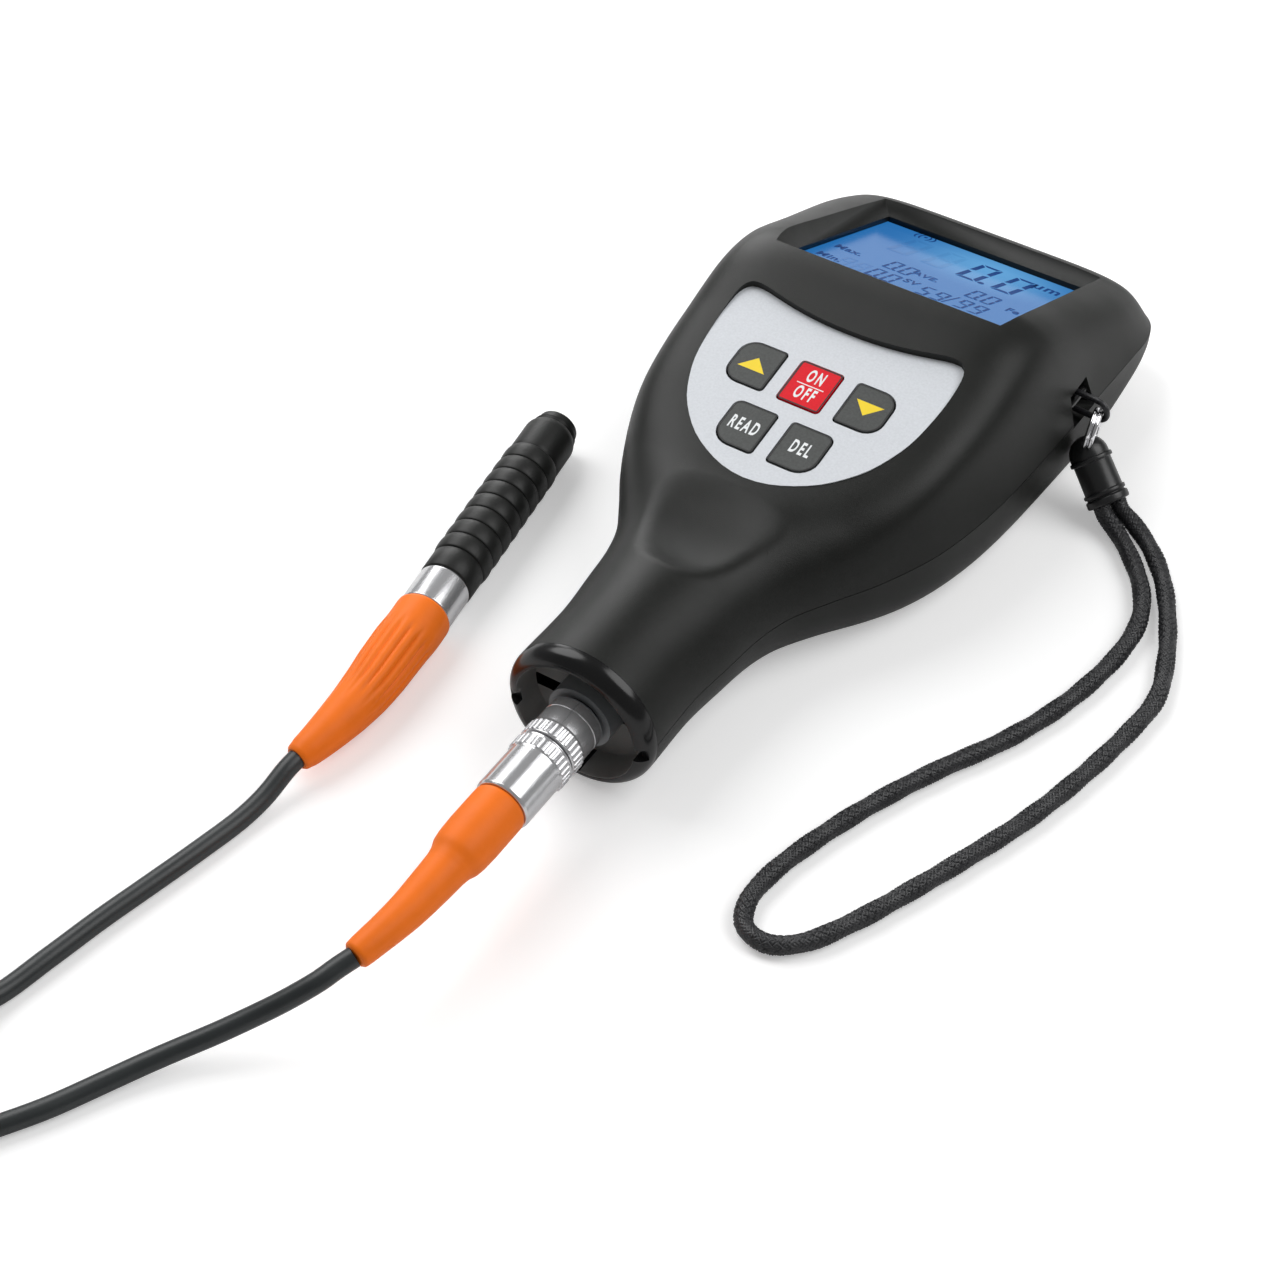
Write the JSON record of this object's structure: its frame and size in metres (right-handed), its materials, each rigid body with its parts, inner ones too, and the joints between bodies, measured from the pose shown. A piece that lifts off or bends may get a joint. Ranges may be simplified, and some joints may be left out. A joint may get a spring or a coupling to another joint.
{
  "type": "coating thickness gauge",
  "caption": "Handheld coating thickness gauge with a sloped display and keys, a plug-in probe on a cable and a wrist strap",
  "frame": {"origin": "under the middle of the gauge without its cords, on the plane its back rests on", "axes": "+Z out of the display side, +Y from the nose with the socket toward the display end, +X to the right seen from the display side"},
  "size_m": [0.1418, 0.2542, 0.0325],
  "materials": {
    "casing": "fine-grain matte",
    "gloss_black": "polished",
    "silver_sheet": "satin printed film",
    "key_grey": "satin",
    "key_red": "satin",
    "steel": "plain",
    "board": "solder mask",
    "clear": "clear",
    "lcd": "back-lit blue",
    "light": "diffuser",
    "chip": "moulded",
    "cell_wrap": "printed sleeve, left plain",
    "chrome": "polished",
    "socket_grey": "satin",
    "orange": "satin",
    "cable": "satin",
    "grip": "satin",
    "braid": "braided"
  },
  "bodies": {
    "gauge": {"front_cover": "casing", "rear_cover": "casing", "nose_cap": "gloss_black", "keypad_sheet": "silver_sheet", "key_domes": "steel", "key_board": "board", "display_window": "clear", "lcd_panel": "lcd", "backlight": "light", "main_board": "board", "board_chips": "chip", "cell_1": "cell_wrap", "cell_2": "cell_wrap", "cell_3": "cell_wrap", "cell_4": "cell_wrap", "cell_springs": "steel", "cell_contacts": "steel", "case_screws": "steel", "socket_boss": "socket_grey", "socket_shell": "chrome", "socket_insert": "chip", "socket_nut": "steel", "plug_core": "steel", "plug_body": "chrome", "plug_boot": "orange", "cable_plug_run": "cable", "cable_coil": "cable", "cable_probe_run": "cable", "probe_boot": "orange", "probe_collar": "chrome", "probe_grip": "grip", "probe_spring": "steel", "strap_lug": "gloss_black", "strap_loop": "braid", "strap_ring": "chrome", "strap_ferrule": "gloss_black", "strap_cord": "braid"},
    "key_up": {"key_up": "key_grey"},
    "key_power": {"key_power": "key_red"},
    "key_down": {"key_down": "key_grey"},
    "key_read": {"key_read": "key_grey"},
    "key_delete": {"key_delete": "key_grey"},
    "battery_door": {"battery_door": "casing"},
    "plug_ring": {"plug_ring": "chrome"},
    "probe_tip": {"probe_tip": "grip"}
  },
  "joints": [
    {"name": "key_up_press", "type": "slide", "parent": "gauge", "child": "key_up", "axis": [0, 0.1668, -0.986], "range_m": [0, 0.0004], "stiffness_N_per_m": 1500},
    {"name": "key_power_press", "type": "slide", "parent": "gauge", "child": "key_power", "axis": [0, 0.1668, -0.986], "range_m": [0, 0.0004], "stiffness_N_per_m": 1500},
    {"name": "key_down_press", "type": "slide", "parent": "gauge", "child": "key_down", "axis": [0, 0.1668, -0.986], "range_m": [0, 0.0004], "stiffness_N_per_m": 1500},
    {"name": "key_read_press", "type": "slide", "parent": "gauge", "child": "key_read", "axis": [0, 0.1668, -0.986], "range_m": [0, 0.0004], "stiffness_N_per_m": 1500},
    {"name": "key_delete_press", "type": "slide", "parent": "gauge", "child": "key_delete", "axis": [0, 0.1668, -0.986], "range_m": [0, 0.0004], "stiffness_N_per_m": 1500},
    {"name": "battery_door_slide", "type": "slide", "parent": "gauge", "child": "battery_door", "axis": [0, 1, 0], "range_m": [0, 0.012]},
    {"name": "plug_ring_turn", "type": "hinge", "parent": "gauge", "child": "plug_ring", "pos_m": [0, -0.067, 0.0123], "axis": [0, 1, 0], "range_deg": [0, 720]},
    {"name": "probe_tip_press", "type": "slide", "parent": "gauge", "child": "probe_tip", "axis": [0.1461, -0.9893, 0], "range_m": [0, 0.0015], "stiffness_N_per_m": 800}
  ]
}
